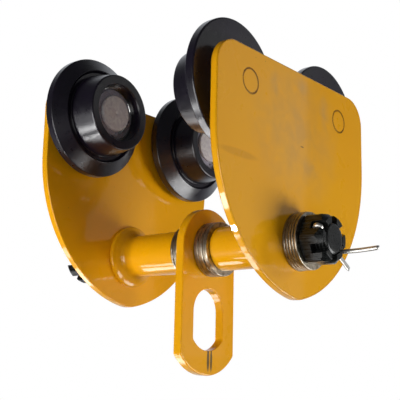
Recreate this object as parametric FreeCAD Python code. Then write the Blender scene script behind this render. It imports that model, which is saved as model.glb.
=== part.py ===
"""Plain push-travel beam trolley: two side plates with four flanged wheels, hung on a beam's lower flange.

Frame: the origin is midway between the side plates, on the level that the lowest line of the treads
rolls on. +X runs along the beam, +Y across it along the cross shaft, +Z is up. Millimetres.
Right is the -Y side, left is the +Y side, front is +X and rear is -X.

Pieces are drawn for the right side and turned half a turn about Z for the left side. The left end of the
cross shaft is longer, with the spare thick washers on it.
"""
import FreeCAD
import Part
import math
import os

V = FreeCAD.Vector
UP = V(0, 0, 1)
ACROSS = V(0, 1, 0)

# ---- driving dimensions -------------------------------------------------------------------------
TREAD_R = 34.5            # largest tread radius, at the wheel flange
AXLE_SPACING = 125.0      # between the two wheel axles of one plate
AXLE_HEIGHT = 110.0       # wheel axles above the cross shaft
PLATE_T = 6.0             # side plate thickness
TUBE_LENGTH = 65.1        # each spacer tube
THICK_WASHER_T = 4.5      # washers next to the suspension plate, and the spare ones
THIN_WASHER_T = 2.5       # washers that set the width
THICK_WASHERS = 3         # on each side of the suspension plate
OUTER_WASHERS = 5         # thin washers outside each side plate
SPARE_WASHERS = 6         # thick washers kept outside the left side plate
SIDE_PLAY = 0.3           # free play on each side of the suspension plate

# suspension plate
LINK_T = 8.0
LINK_HALF_WIDTH = 33.5
LOWER_CENTRE = 57.85      # centre of both lower arcs, below the cross shaft
LINK_LOWER_R = 43.0       # lower end of the outline
SLOT_HALF_WIDTH = 18.6
SLOT_TOP = 50.6           # centre of the slot's upper end, below the cross shaft
SLOT_LOWER_R = 23.5       # lower end of the slot, where the load bears
LINK_CORNER_R = 3.0       # where the straight sides meet the lower arcs
LINK_EDGE = 1.0           # rounding of the outer edges
SLOT_EDGE = 0.8

# side plate outline
PLATE_HALF_WIDTH = 102.0
PLATE_TOP = 60.0
CORNER_R = 22.0
SIDE_ARC_R = 119.0        # the lower flanks
SIDE_ARC_Z = -2.0         # level at which they start to curve
TIP_R = 30.0              # the blunt lower tip
PLATE_EDGE = 0.8

# cross shaft, an M24 rod, and what is threaded on it
SHAFT_R = 12.0
SHAFT_BORE_R = 12.5       # clearance bores of the plates, washers and tubes
TUBE_R = 18.0
COLLAR_R = 26.6
COLLAR_RIM = 3.2          # straight rim of the collar before its weld-shaped taper
COLLAR_LENGTH = 9.0
COLLAR_TOP_R = 18.7
WASHER_R = 22.0
NUT_FLATS = 35.2          # across flats
NUT_HEIGHT = 19.3
NUT_CROWN = 5.0           # height of the coned crown
NUT_SEAT_BEVEL = 1.4      # height of the bevel at the bearing face
NUT_EDGE = 0.5            # wear of the corners
NUT_SEAT_EDGE = 0.3
NUT_SLOT_WIDTH = 7.2
NUT_SLOT_DEPTH = 11.0
NUT_TOP_R = 16.2          # end face radius of the chamfered crown
SHAFT_STANDOUT = 0.6      # rod end beyond the nut
SHAFT_CHAMFER = 1.2
WASHER_EDGE = 0.35        # chamfers of the washers' rims
COLLAR_EDGE = 0.6
COLLAR_FOOT = 1.2         # bevel between the rim and the taper
COLLAR_TOE = 2.0          # length over which the taper runs out on the tube

# cotter pin, half-round wire folded on itself
WIRE_R = 2.0
LEG_GAP = 0.1             # half the gap between the legs
COTTER_HEIGHT = 13.0      # cotter axis above the nut's bearing face
COTTER_HOLE_R = 2.3
COUNTERSINK = 2.2
EYE_END = 18.4            # outermost point of the eye from the shaft axis
EYE_R = 2.2               # inner radius of the eye
NECK_R = 2.1
SHORT_LEG = 38.0
BEND_START = 12.8
BEND_R = 3.5
LEG_ARC_R = 260.0         # the bent leg leans away from the nut on a wide arc

# the two ends of the shaft; turns are degrees from +X towards +Z, as drawn on the right side
RIGHT_NUT_TURN = 0.0
RIGHT_COTTER_TURN = -30.0
RIGHT_BENT_LEG = 31.0
LEFT_NUT_TURN = 25.0
LEFT_COTTER_TURN = 55.0
LEFT_BENT_LEG = 5.0

# wheel, distances from the inner face of its side plate
WHEEL_BACK = 7.4
RIM_FRONT = 14.4
SHOULDER = 21.7
TREAD_MIDDLE = 31.1
HUB_END = 41.9
FLANGE_R = 50.0
SHOULDER_R = 38.8
TREAD_MIDDLE_R = 33.1
HUB_R = 31.4
BORE_R = 23.5
LIP_R = 21.0
GROOVE_R = 33.4
GROOVE_SHOULDER_R = 36.8  # where the groove's floor meets the shoulder's undercut
GROOVE_FLOOR = 19.5
TREAD_START = 21.5
BACK_EDGE = 1.0           # bevels, from the wheel's back to its bore
RIM_EDGE = 0.8
TREAD_EDGE = 0.5
HUB_EDGE = 1.0
BORE_EDGE = 0.8

# wheel axle and bearings, two thin-section 30 x 47 x 9 ball bearings in each wheel
BEARING_START = 15.5
BEARING_WIDTH = 9.0
BEARING_EDGE = 0.3
JOURNAL_R = 15.0
AXLE_SHOULDER_R = 18.0
RIVET_R = 9.5
RIVET_STANDOUT = 0.35
RIVET_EDGE = 0.5
AXLE_END = 38.0
AXLE_CHAMFER = 0.9
CIRCLIP_T = 1.5
CIRCLIP_SEAT_R = 14.3
CIRCLIP_R = 19.3
CIRCLIP_OFFSET = 0.8      # the band is this much thicker opposite its gap than at its sides
CIRCLIP_GAP_TURN = 226.0
CIRCLIP_GAP_HALF = 28.0   # half angle cut out between the lugs
LUG_TURN = 35.0           # lugs on both sides of the gap's middle
LUG_R = 3.1
LUG_PITCH_R = 17.3
LUG_HOLE_R = 1.2
BALL_R = 2.38
BALL_PITCH_R = 19.25
BALL_COUNT = 15
BALL_PLAY = 0.05
INNER_RING_R = 17.6
OUTER_RING_R = 21.0
CAGE_HALF_WIDTH = 3.1
CAGE_T = 1.5
SHIELD_T = 0.3
SHIELD_OFFSET = 4.1       # outer face of a shield from the bearing's middle
SHIELD_R_IN = 17.95
SHIELD_R_OUT = 21.4

# ---- places worked out from them ----------------------------------------------------------------
AXLE_Z = TREAD_R
SHAFT_Z = AXLE_Z - AXLE_HEIGHT
THICK_STACK = THICK_WASHERS * THICK_WASHER_T
OUTER_STACK = OUTER_WASHERS * THIN_WASHER_T
INSIDE_WIDTH = 2 * TUBE_LENGTH + 2 * THICK_STACK + THIN_WASHER_T + LINK_T + 2 * SIDE_PLAY
INNER_Y = INSIDE_WIDTH / 2
OUTER_Y = INNER_Y + PLATE_T
RIGHT_NUT_Y = OUTER_Y + OUTER_STACK
LEFT_NUT_Y = RIGHT_NUT_Y + SPARE_WASHERS * THICK_WASHER_T
LINK_Y = -INNER_Y + TUBE_LENGTH + THICK_STACK + SIDE_PLAY + LINK_T / 2
LINK_FACES = (LINK_Y - LINK_T / 2, LINK_Y + LINK_T / 2)
LOWER_CENTRE_Z = SHAFT_Z - LOWER_CENTRE
SIDE_ARC_X = SIDE_ARC_R - PLATE_HALF_WIDTH

os.makedirs("parts", exist_ok=True)


def save(name, shape):
    shape.exportStep("parts/" + name + ".step")


def cylinder(radius, y0, y1, x=0.0, z=0.0):
    return Part.makeCylinder(radius, y1 - y0, V(x, y0, z), ACROSS)


def ring(outer_r, inner_r, y0, y1, x=0.0, z=0.0):
    return cylinder(outer_r, y0, y1, x, z).cut(cylinder(inner_r, y0, y1, x, z))


def turned(profile):
    """Solid of revolution about the Y axis from (distance along Y, radius) points."""
    points = [V(radius, y, 0) for y, radius in profile]
    face = Part.Face(Part.makePolygon(points + points[:1]))
    return face.revolve(V(0, 0, 0), ACROSS, 360)


def polar(radius, degrees):
    """Point in the XZ plane, degrees from +X towards +Z."""
    turn = math.radians(degrees)
    return V(radius * math.cos(turn), 0, radius * math.sin(turn))


def arc_in_plane(centre, radius, start, end, plane):
    """Circular arc between two angles in degrees; plane turns (p, q) into a point."""
    points = []
    for share in (0.0, 0.5, 1.0):
        turn = math.radians(start + (end - start) * share)
        points.append(plane(centre[0] + radius * math.cos(turn), centre[1] + radius * math.sin(turn)))
    return Part.Arc(*points).toShape()


def to_left(shape):
    """Half a turn about Z takes a right-hand piece to the left side."""
    turned_shape = shape.copy()
    turned_shape.rotate(V(0, 0, 0), UP, 180)
    return turned_shape


def rounded(solid, radius, wanted):
    """Rounds the edges for which wanted(edge) is true."""
    return solid.makeFillet(radius, [edge for edge in solid.Edges if wanted(edge)])


def lies_flat(edge, levels):
    """True when the whole edge lies at one of the given Y levels."""
    box = edge.BoundBox
    return any(abs(box.YMin - level) < 1e-4 and abs(box.YMax - level) < 1e-4 for level in levels)


# ---- side plate ---------------------------------------------------------------------------------
def side_plate():
    """Plate with round upper corners, straight flanks and two long arcs down to a blunt tip."""
    corner_x = PLATE_HALF_WIDTH - CORNER_R
    corner_z = PLATE_TOP - CORNER_R
    tip_drop = math.sqrt((SIDE_ARC_R - TIP_R) ** 2 - SIDE_ARC_X ** 2)
    tip_turn = -math.degrees(math.atan2(tip_drop, SIDE_ARC_X))

    def plane(x, z):
        return V(x, 0, z)

    edges = [
        Part.LineSegment(plane(-corner_x, PLATE_TOP), plane(corner_x, PLATE_TOP)).toShape(),
        arc_in_plane((corner_x, corner_z), CORNER_R, 90, 0, plane),
        Part.LineSegment(plane(PLATE_HALF_WIDTH, corner_z), plane(PLATE_HALF_WIDTH, SIDE_ARC_Z)).toShape(),
        arc_in_plane((-SIDE_ARC_X, SIDE_ARC_Z), SIDE_ARC_R, 0, tip_turn, plane),
        arc_in_plane((0, SIDE_ARC_Z - tip_drop), TIP_R, tip_turn, -180 - tip_turn, plane),
        arc_in_plane((SIDE_ARC_X, SIDE_ARC_Z), SIDE_ARC_R, -180 - tip_turn, -180, plane),
        Part.LineSegment(plane(-PLATE_HALF_WIDTH, SIDE_ARC_Z), plane(-PLATE_HALF_WIDTH, corner_z)).toShape(),
        arc_in_plane((-corner_x, corner_z), CORNER_R, 180, 90, plane),
    ]
    plate = Part.Face(Part.Wire(edges)).extrude(V(0, PLATE_T, 0))
    plate = rounded(plate, PLATE_EDGE, lambda edge: lies_flat(edge, (0, PLATE_T)))
    plate.translate(V(0, -OUTER_Y, 0))
    plate = plate.cut(cylinder(SHAFT_BORE_R, -OUTER_Y, -INNER_Y, 0, SHAFT_Z))
    for axle_x in (-AXLE_SPACING / 2, AXLE_SPACING / 2):
        plate = plate.cut(cylinder(RIVET_R, -OUTER_Y, -INNER_Y, axle_x, AXLE_Z))
    return plate


# ---- cross shaft and its fasteners --------------------------------------------------------------
def cotter_plane(nut_y, turn):
    """Plane of a cotter pin: p runs along its legs from the shaft axis, q outwards along the shaft."""
    def plane(p, q):
        point = polar(p, turn)
        return V(point.x, -(nut_y + COTTER_HEIGHT + q), SHAFT_Z + point.z)
    return plane


def cotter_hole(nut_y, turn):
    """Drilling through the shaft, countersunk at both ends."""
    plane = cotter_plane(nut_y, turn)
    along = polar(1, turn)
    wide = COTTER_HOLE_R + COUNTERSINK
    hole = Part.makeCylinder(COTTER_HOLE_R, 2 * SHAFT_R, plane(-SHAFT_R, 0), along)
    sink = Part.makeCone(wide, COTTER_HOLE_R, COUNTERSINK, plane(-SHAFT_R, 0), along)
    far_sink = Part.makeCone(wide, COTTER_HOLE_R, COUNTERSINK, plane(SHAFT_R, 0), along * -1)
    return hole.fuse([sink, far_sink])


def cross_shaft():
    """Rod with chamfered ends, longer on the left, and a cotter hole through each end."""
    end_r = SHAFT_R - SHAFT_CHAMFER
    right_end = -(RIGHT_NUT_Y + NUT_HEIGHT + SHAFT_STANDOUT)
    left_end = LEFT_NUT_Y + NUT_HEIGHT + SHAFT_STANDOUT
    shaft = turned([(right_end, 0), (right_end, end_r), (right_end + SHAFT_CHAMFER, SHAFT_R),
                    (left_end - SHAFT_CHAMFER, SHAFT_R), (left_end, end_r), (left_end, 0)])
    shaft.translate(V(0, 0, SHAFT_Z))
    shaft = shaft.cut(cotter_hole(RIGHT_NUT_Y, RIGHT_COTTER_TURN))
    return shaft.cut(to_left(cotter_hole(LEFT_NUT_Y, LEFT_COTTER_TURN)))


def castle_nut(nut_y, turn):
    """Slotted hexagon nut with a coned crown, a corner at the given turn and a slot in each flat."""
    corner_r = NUT_FLATS / math.sqrt(3)
    corners = [polar(corner_r, turn + 60 * count) for count in range(6)]
    face = Part.Face(Part.makePolygon(corners + corners[:1]))
    nut = face.extrude(V(0, -NUT_HEIGHT, 0))
    worn_r = corner_r - NUT_EDGE
    nut = nut.common(turned([(0, 0), (0, NUT_FLATS / 2 - NUT_SEAT_EDGE), (-NUT_SEAT_BEVEL, worn_r),
                             (NUT_CROWN - NUT_HEIGHT, worn_r), (-NUT_HEIGHT, NUT_TOP_R), (-NUT_HEIGHT, 0)]))
    nut = nut.cut(cylinder(SHAFT_R, -NUT_HEIGHT, 0))
    slot = Part.makeBox(2 * corner_r, NUT_SLOT_DEPTH, NUT_SLOT_WIDTH, V(0, -NUT_HEIGHT, -NUT_SLOT_WIDTH / 2))
    for count in range(6):
        cutter = slot.copy()
        cutter.rotate(V(0, 0, 0), ACROSS, -(turn + 30 + 60 * count))
        nut = nut.cut(cutter)
    nut.translate(V(0, -nut_y, SHAFT_Z))
    return nut


def cotter_pin(nut_y, turn, bent_leg):
    """One sweep of half-round wire: bent leg, eye, short straight leg."""
    plane = cotter_plane(nut_y, turn)
    eye_p = WIRE_R + EYE_R - EYE_END
    neck_q = LEG_GAP + NECK_R
    neck_p = eye_p + math.sqrt((EYE_R + NECK_R) ** 2 - neck_q ** 2)
    neck_turn = math.degrees(math.atan2(neck_q, neck_p - eye_p))
    bend_q = LEG_GAP + BEND_R
    leg_p = BEND_START + BEND_R
    lean = math.degrees(bent_leg / LEG_ARC_R)

    def line(p0, q0, p1, q1):
        return Part.LineSegment(plane(p0, q0), plane(p1, q1)).toShape()

    path = Part.Wire([
        arc_in_plane((leg_p + LEG_ARC_R, bend_q), LEG_ARC_R, 180 - lean, 180, plane),
        arc_in_plane((BEND_START, bend_q), BEND_R, 0, -90, plane),
        line(BEND_START, LEG_GAP, neck_p, LEG_GAP),
        arc_in_plane((neck_p, neck_q), NECK_R, -90, -180 + neck_turn, plane),
        arc_in_plane((eye_p, 0), EYE_R, neck_turn, 360 - neck_turn, plane),
        arc_in_plane((neck_p, -neck_q), NECK_R, 180 - neck_turn, 90, plane),
        line(neck_p, -LEG_GAP, SHORT_LEG, -LEG_GAP),
    ])
    tip = plane(SHORT_LEG, -LEG_GAP)
    width = polar(WIRE_R, turn + 90)
    half_round = [Part.LineSegment(tip - width, tip + width).toShape(),
                  Part.Arc(tip + width, tip + ACROSS * WIRE_R, tip - width).toShape()]
    return path.makePipeShell([Part.Wire(half_round)], True, False)


def washer_stack(thicknesses, start):
    """Washers side by side from the Y level start towards +Y, as separate solids."""
    washers = []
    for thickness in thicknesses:
        washer = ring(WASHER_R, SHAFT_BORE_R, start, start + thickness, 0, SHAFT_Z)
        rims = [edge for edge in washer.Edges
                if lies_flat(edge, (start, start + thickness)) and edge.BoundBox.XLength > 2 * TUBE_R]
        washers.append(washer.makeChamfer(WASHER_EDGE, rims))
        start += thickness
    return Part.makeCompound(washers)


def spacer_tube():
    return ring(TUBE_R, SHAFT_BORE_R, -INNER_Y, -INNER_Y + TUBE_LENGTH, 0, SHAFT_Z)


def tube_collar():
    """Bearing flange of the spacer tube, tapered to the tube like its weld."""
    profile = [(0, TUBE_R), (0, COLLAR_R - COLLAR_EDGE), (COLLAR_EDGE, COLLAR_R), (COLLAR_RIM, COLLAR_R),
               (COLLAR_RIM + COLLAR_FOOT, COLLAR_R - COLLAR_FOOT),
               (COLLAR_LENGTH - COLLAR_TOE, COLLAR_TOP_R + COLLAR_FOOT),
               (COLLAR_LENGTH, COLLAR_TOP_R), (COLLAR_LENGTH, TUBE_R)]
    collar = turned(profile)
    collar.translate(V(0, -INNER_Y, SHAFT_Z))
    return collar


# ---- suspension plate ---------------------------------------------------------------------------
def link_blank(half_width, upper_z, lower_r):
    """Slab with a round upper end, straight sides and a wider arc for its lower end."""
    upper = cylinder(half_width, *LINK_FACES, 0, upper_z)
    sides = Part.makeBox(2 * half_width, LINK_T, upper_z - LOWER_CENTRE_Z,
                         V(-half_width, LINK_FACES[0], LOWER_CENTRE_Z))
    below = Part.makeBox(2 * half_width, LINK_T, lower_r,
                         V(-half_width, LINK_FACES[0], LOWER_CENTRE_Z - lower_r))
    lower = below.common(cylinder(lower_r, *LINK_FACES, 0, LOWER_CENTRE_Z))
    blank = upper.fuse([sides, lower]).removeSplitter()
    return rounded(blank, LINK_CORNER_R, lambda edge: edge.BoundBox.ZLength < 1e-4
                   and edge.BoundBox.XLength < 1e-4 and edge.BoundBox.ZMax < LOWER_CENTRE_Z)


def suspension_plate():
    """Link with the shaft bore at the top and the load slot below it; its lower arcs share one centre."""
    link = link_blank(LINK_HALF_WIDTH, SHAFT_Z, LINK_LOWER_R)
    link = rounded(link, LINK_EDGE, lambda edge: lies_flat(edge, LINK_FACES))
    slot = link_blank(SLOT_HALF_WIDTH, SHAFT_Z - SLOT_TOP, SLOT_LOWER_R)
    limits = slot.BoundBox
    limits.enlarge(0.01)
    link = link.cut(slot)
    link = rounded(link, SLOT_EDGE, lambda edge: lies_flat(edge, LINK_FACES) and limits.isInside(edge.BoundBox))
    return link.cut(cylinder(SHAFT_BORE_R, *LINK_FACES, 0, SHAFT_Z))


# ---- wheel set, drawn along +Y from the plate's inner face at Y = 0 -----------------------------
def wheel():
    """Flange with a coned face, relief groove, tapered tread, hub face and stepped bore."""
    profile = [(WHEEL_BACK, LIP_R), (WHEEL_BACK, FLANGE_R - BACK_EDGE), (WHEEL_BACK + BACK_EDGE, FLANGE_R),
               (RIM_FRONT - RIM_EDGE, FLANGE_R), (RIM_FRONT, FLANGE_R - RIM_EDGE), (SHOULDER, SHOULDER_R),
               (GROOVE_FLOOR, GROOVE_SHOULDER_R), (GROOVE_FLOOR, GROOVE_R), (TREAD_START, GROOVE_R),
               (TREAD_START + TREAD_EDGE, TREAD_R), (TREAD_MIDDLE, TREAD_MIDDLE_R), (HUB_END - HUB_EDGE, HUB_R),
               (HUB_END, HUB_R - HUB_EDGE), (HUB_END, BORE_R + BORE_EDGE), (HUB_END - BORE_EDGE, BORE_R),
               (BEARING_START, BORE_R), (BEARING_START, LIP_R)]
    return turned(profile)


def wheel_axle():
    """Riveted through the plate, with a shoulder, a bearing journal and a circlip groove."""
    clip_start = BEARING_START + 2 * BEARING_WIDTH
    clip_end = clip_start + CIRCLIP_T
    head = -PLATE_T - RIVET_STANDOUT
    return turned([(head, 0), (head, RIVET_R - RIVET_EDGE), (head + RIVET_STANDOUT, RIVET_R), (0, RIVET_R),
                   (0, AXLE_SHOULDER_R), (BEARING_START, AXLE_SHOULDER_R), (BEARING_START, JOURNAL_R),
                   (clip_start, JOURNAL_R), (clip_start, CIRCLIP_SEAT_R), (clip_end, CIRCLIP_SEAT_R),
                   (clip_end, JOURNAL_R), (AXLE_END - AXLE_CHAMFER, JOURNAL_R),
                   (AXLE_END, JOURNAL_R - AXLE_CHAMFER), (AXLE_END, 0)])


def circlip():
    """External retaining ring, widest opposite its gap, with a drilled lug at each end."""
    start = BEARING_START + 2 * BEARING_WIDTH
    end = start + CIRCLIP_T
    offset = polar(CIRCLIP_OFFSET, CIRCLIP_GAP_TURN - 180)
    clip = cylinder(CIRCLIP_R, start, end, offset.x, offset.z)
    wedge = [V(0, start, 0)]
    for turn in (CIRCLIP_GAP_TURN - CIRCLIP_GAP_HALF, CIRCLIP_GAP_TURN + CIRCLIP_GAP_HALF):
        wedge.append(polar(2 * CIRCLIP_R, turn) + V(0, start, 0))
    clip = clip.cut(Part.Face(Part.makePolygon(wedge + wedge[:1])).extrude(V(0, CIRCLIP_T, 0)))
    lugs = [polar(LUG_PITCH_R, CIRCLIP_GAP_TURN + turn) for turn in (-LUG_TURN, LUG_TURN)]
    for lug in lugs:
        clip = clip.fuse(cylinder(LUG_R, start, end, lug.x, lug.z))
    for lug in lugs:
        clip = clip.cut(cylinder(LUG_HOLE_R, start, end, lug.x, lug.z))
    return clip.cut(cylinder(CIRCLIP_SEAT_R, start, end)).removeSplitter()


def ball_groove(middle):
    """Torus that both bearing rings are grooved with."""
    return Part.makeTorus(BALL_PITCH_R, BALL_R + BALL_PLAY, V(0, middle, 0), ACROSS)


def for_each_bearing(make):
    """Calls make with the middle of each bearing along the axle; returns the solids as one group."""
    middles = [BEARING_START + BEARING_WIDTH * (count + 0.5) for count in range(2)]
    solids = []
    for middle in middles:
        solids.extend(make(middle))
    return Part.makeCompound(solids)


def bearing_ring(outer_r, inner_r, middle):
    low, high = middle - BEARING_WIDTH / 2, middle + BEARING_WIDTH / 2
    edge = BEARING_EDGE
    body = turned([(low, inner_r + edge), (low, outer_r - edge), (low + edge, outer_r),
                   (high - edge, outer_r), (high, outer_r - edge), (high, inner_r + edge),
                   (high - edge, inner_r), (low + edge, inner_r)])
    return [body.cut(ball_groove(middle))]


def bearing_inner(middle):
    return bearing_ring(INNER_RING_R, JOURNAL_R, middle)


def bearing_outer(middle):
    return bearing_ring(BORE_R, OUTER_RING_R, middle)


def bearing_balls(middle):
    balls = []
    for count in range(BALL_COUNT):
        centre = polar(BALL_PITCH_R, 360.0 * count / BALL_COUNT)
        balls.append(Part.makeSphere(BALL_R, V(centre.x, middle, centre.z)))
    return balls


def bearing_cage(middle):
    """Band between the rings with a round pocket for each ball."""
    inner_r = BALL_PITCH_R - CAGE_T / 2
    cage = ring(inner_r + CAGE_T, inner_r, middle - CAGE_HALF_WIDTH, middle + CAGE_HALF_WIDTH)
    for count in range(BALL_COUNT):
        along = polar(1, 360.0 * count / BALL_COUNT)
        start = along * (inner_r - CAGE_T) + V(0, middle, 0)
        cage = cage.cut(Part.makeCylinder(BALL_R + BALL_PLAY, 3 * CAGE_T, start, along))
    return [cage]


def bearing_shields(middle):
    low = ring(SHIELD_R_OUT, SHIELD_R_IN, middle - SHIELD_OFFSET, middle - SHIELD_OFFSET + SHIELD_T)
    high = ring(SHIELD_R_OUT, SHIELD_R_IN, middle + SHIELD_OFFSET - SHIELD_T, middle + SHIELD_OFFSET)
    return [low, high]


def shielded_outer(middle):
    """Outer ring cut back where its two shields snap in."""
    body = bearing_outer(middle)[0]
    for shield in bearing_shields(middle):
        body = body.cut(shield)
    return [body]


def wheel_set():
    """Every piece of one wheel, by its name."""
    return {
        "wheel": wheel(),
        "wheel_axle": wheel_axle(),
        "circlip": circlip(),
        "bearing_inner_rings": for_each_bearing(bearing_inner),
        "bearing_outer_rings": for_each_bearing(shielded_outer),
        "bearing_balls": for_each_bearing(bearing_balls),
        "bearing_cages": for_each_bearing(bearing_cage),
        "bearing_shields": for_each_bearing(bearing_shields),
    }


# ---- write the pieces ---------------------------------------------------------------------------
for piece, make in (("side_plate", side_plate), ("spacer_tube", spacer_tube), ("tube_collar", tube_collar)):
    shape = make()
    save("right_" + piece, shape)
    save("left_" + piece, to_left(shape))

outer_washers = [THIN_WASHER_T] * OUTER_WASHERS
save("right_outer_washers", washer_stack(outer_washers, -RIGHT_NUT_Y))
save("left_outer_washers", washer_stack(outer_washers + [THICK_WASHER_T] * SPARE_WASHERS, OUTER_Y))
save("right_castle_nut", castle_nut(RIGHT_NUT_Y, RIGHT_NUT_TURN))
save("left_castle_nut", to_left(castle_nut(LEFT_NUT_Y, LEFT_NUT_TURN)))
save("right_cotter_pin", cotter_pin(RIGHT_NUT_Y, RIGHT_COTTER_TURN, RIGHT_BENT_LEG))
save("left_cotter_pin", to_left(cotter_pin(LEFT_NUT_Y, LEFT_COTTER_TURN, LEFT_BENT_LEG)))

right_stack_start = -INNER_Y + TUBE_LENGTH
left_stack_start = LINK_Y + LINK_T / 2 + SIDE_PLAY
save("right_inner_washers", washer_stack([THICK_WASHER_T] * THICK_WASHERS, right_stack_start))
save("left_inner_washers", washer_stack([THICK_WASHER_T] * THICK_WASHERS + [THIN_WASHER_T], left_stack_start))
save("cross_shaft", cross_shaft())
save("suspension_plate", suspension_plate())

one_wheel_set = wheel_set()
for end_name, axle_x in (("front", AXLE_SPACING / 2), ("rear", -AXLE_SPACING / 2)):
    for piece, shape in one_wheel_set.items():
        right = shape.copy()
        right.translate(V(axle_x, -INNER_Y, AXLE_Z))
        save(end_name + "_right_" + piece, right)
        left = to_left(shape)
        left.translate(V(axle_x, INNER_Y, AXLE_Z))
        save(end_name + "_left_" + piece, left)
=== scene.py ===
"""Looks of a push-travel beam trolley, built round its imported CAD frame.

Every shape is worked out in millimetres with +Y across the beam, as in the CAD, and put in metres last.
A wheel set or a shaft end is drawn for the right side (-Y); half a turn about Z takes it to the left.
"""
import math

import bpy
import numpy as np
from mathutils import Matrix, Vector


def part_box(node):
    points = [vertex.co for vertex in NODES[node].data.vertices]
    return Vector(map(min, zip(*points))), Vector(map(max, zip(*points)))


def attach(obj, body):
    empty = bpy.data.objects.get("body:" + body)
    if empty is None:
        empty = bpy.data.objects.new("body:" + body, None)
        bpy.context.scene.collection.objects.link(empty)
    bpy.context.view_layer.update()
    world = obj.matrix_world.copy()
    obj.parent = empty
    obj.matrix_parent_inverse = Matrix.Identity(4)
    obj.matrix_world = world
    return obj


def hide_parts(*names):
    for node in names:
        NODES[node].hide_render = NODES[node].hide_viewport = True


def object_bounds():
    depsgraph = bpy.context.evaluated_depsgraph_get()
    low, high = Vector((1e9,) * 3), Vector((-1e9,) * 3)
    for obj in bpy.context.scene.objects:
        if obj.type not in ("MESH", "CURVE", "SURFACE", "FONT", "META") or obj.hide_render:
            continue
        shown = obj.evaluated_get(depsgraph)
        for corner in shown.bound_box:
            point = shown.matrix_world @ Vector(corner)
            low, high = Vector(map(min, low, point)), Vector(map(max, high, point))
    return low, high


bl_info = {
    "name": "Beam trolley looks",
    "version": (1, 0, 0),
    "blender": (4, 5, 0),
    "location": "3D View > Sidebar > Trolley",
    "description": "Finishes, fine shapes and a plain studio for a beam trolley",
    "category": "Object",
}

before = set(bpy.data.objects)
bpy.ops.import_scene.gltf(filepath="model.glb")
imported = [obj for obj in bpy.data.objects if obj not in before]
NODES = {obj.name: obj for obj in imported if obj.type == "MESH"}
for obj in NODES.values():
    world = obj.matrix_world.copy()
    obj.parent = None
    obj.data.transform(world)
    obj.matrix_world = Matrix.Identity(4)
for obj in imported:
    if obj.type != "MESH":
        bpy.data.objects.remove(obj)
CAD_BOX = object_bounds()

MM = 0.001
SIDES = ("right", "left")
WHEELS = ("front_right", "front_left", "rear_right", "rear_left")
# Node sockets taken by number: the colours of a Mix node. A Map Range node's 1 to 4 are from min, from max,
# to min and to max.
MIX_A, MIX_B, MIX_OUT = 6, 7, 2


# ---- places read from the frame, in millimetres -------------------------------------------------
def span(node, axis):
    """Lowest and highest coordinate of a CAD node along one axis."""
    low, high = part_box(node)
    return low[axis] / MM, high[axis] / MM


def middle(node, axis):
    return sum(span(node, axis)) / 2


def radius_of(node):
    """Outer radius of a CAD node that is round about an axis along Y."""
    low, high = span(node, 2)
    return (high - low) / 2


SHAFT_Z = middle("cross_shaft", 2)
SHAFT_ENDS = span("cross_shaft", 1)
SHAFT_R = radius_of("cross_shaft")
INNER_Y = -span("right_side_plate", 1)[1]
OUTER_Y = -span("right_side_plate", 1)[0]
NUT_FACES = {"right": -span("right_castle_nut", 1)[1], "left": span("left_castle_nut", 1)[0]}
TUBE_FREE_END = -span("right_spacer_tube", 1)[1]
TUBE_R = radius_of("right_spacer_tube")
COLLAR_R = radius_of("right_tube_collar")
COLLAR_LENGTH = span("right_tube_collar", 1)[1] + INNER_Y
WASHER_R = radius_of("right_outer_washers")
WHEEL_BACK = span("rear_right_wheel", 1)[0] + INNER_Y
HUB_END = span("rear_right_wheel", 1)[1] + INNER_Y
FLANGE_R = radius_of("rear_right_wheel")
AXLE_END = span("rear_right_wheel_axle", 1)[1] + INNER_Y
CLIP_FACE = span("rear_right_circlip", 1)[1] + INNER_Y
BEARING_START = span("rear_right_bearing_outer_rings", 1)[0] + INNER_Y
BORE_R = radius_of("rear_right_bearing_outer_rings")

# Details that no box of the frame shows, as they are in the CAD.
SLOT_LOW = -156.85                 # lowest point of the suspension plate's slot
THICK_WASHER = 4.5
WASHERS = {"right_outer": (0, 5), "right_inner": (3, 0), "left_outer": (6, 5), "left_inner": (3, 1)}
TUBE_BORE_R = 12.5
LIP_DEPTH = 2.5                    # lip behind the bearings, inwards from the wheel's bore
TREAD_MIDDLE = (10.8, 33.1)        # from the hub's face, and the tread's radius there
AXLE_SHOULDER_R, JOURNAL_R, CLIP_SEAT_R = 18.0, 15.0, 14.3
CLIP_WIDTH = 1.5
COTTER_GAP = 0.1                   # half the gap between the cotter pin's legs
COTTER_NECK_R = 2.1
COTTER_EYE_END = 18.4              # outermost point of the eye, from the shaft's axis
COTTER_BEND = (12.8, 3.5)          # where the bent leg turns off, and the radius it turns on
# Degrees from +X towards +Z as drawn on the right, reach of the bent leg, and how far its end curls.
COTTERS = {"right": (-30.0, 30.6, 1.0), "left": (55.0, 4.4, 0.0)}

# Small clearances and wear of the visual model only.
RIVET_R, RIVET_DEPTH = 9.2, 2.0    # a little smaller than the hole, so that a dark line stays round it
WASHER_BORE_R, WASHER_GAP = 12.6, 0.16
POLE_R = 0.4                       # innermost ring of a closed end, so that its fan has a clean normal
THREAD_OVERLAP = 4.0               # length of thread behind the nut's bearing face
SHAFT_END_BEVEL = 1.7


# ---- colour and nodes ---------------------------------------------------------------------------
def linear(code):
    """sRGB hex to linear red, green and blue."""
    values = [int(code[i:i + 2], 16) / 255 for i in (0, 2, 4)]
    return [v / 12.92 if v <= 0.04045 else ((v + 0.055) / 1.055) ** 2.4 for v in values]


def rgba(colour):
    return (*colour, 1.0)


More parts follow.
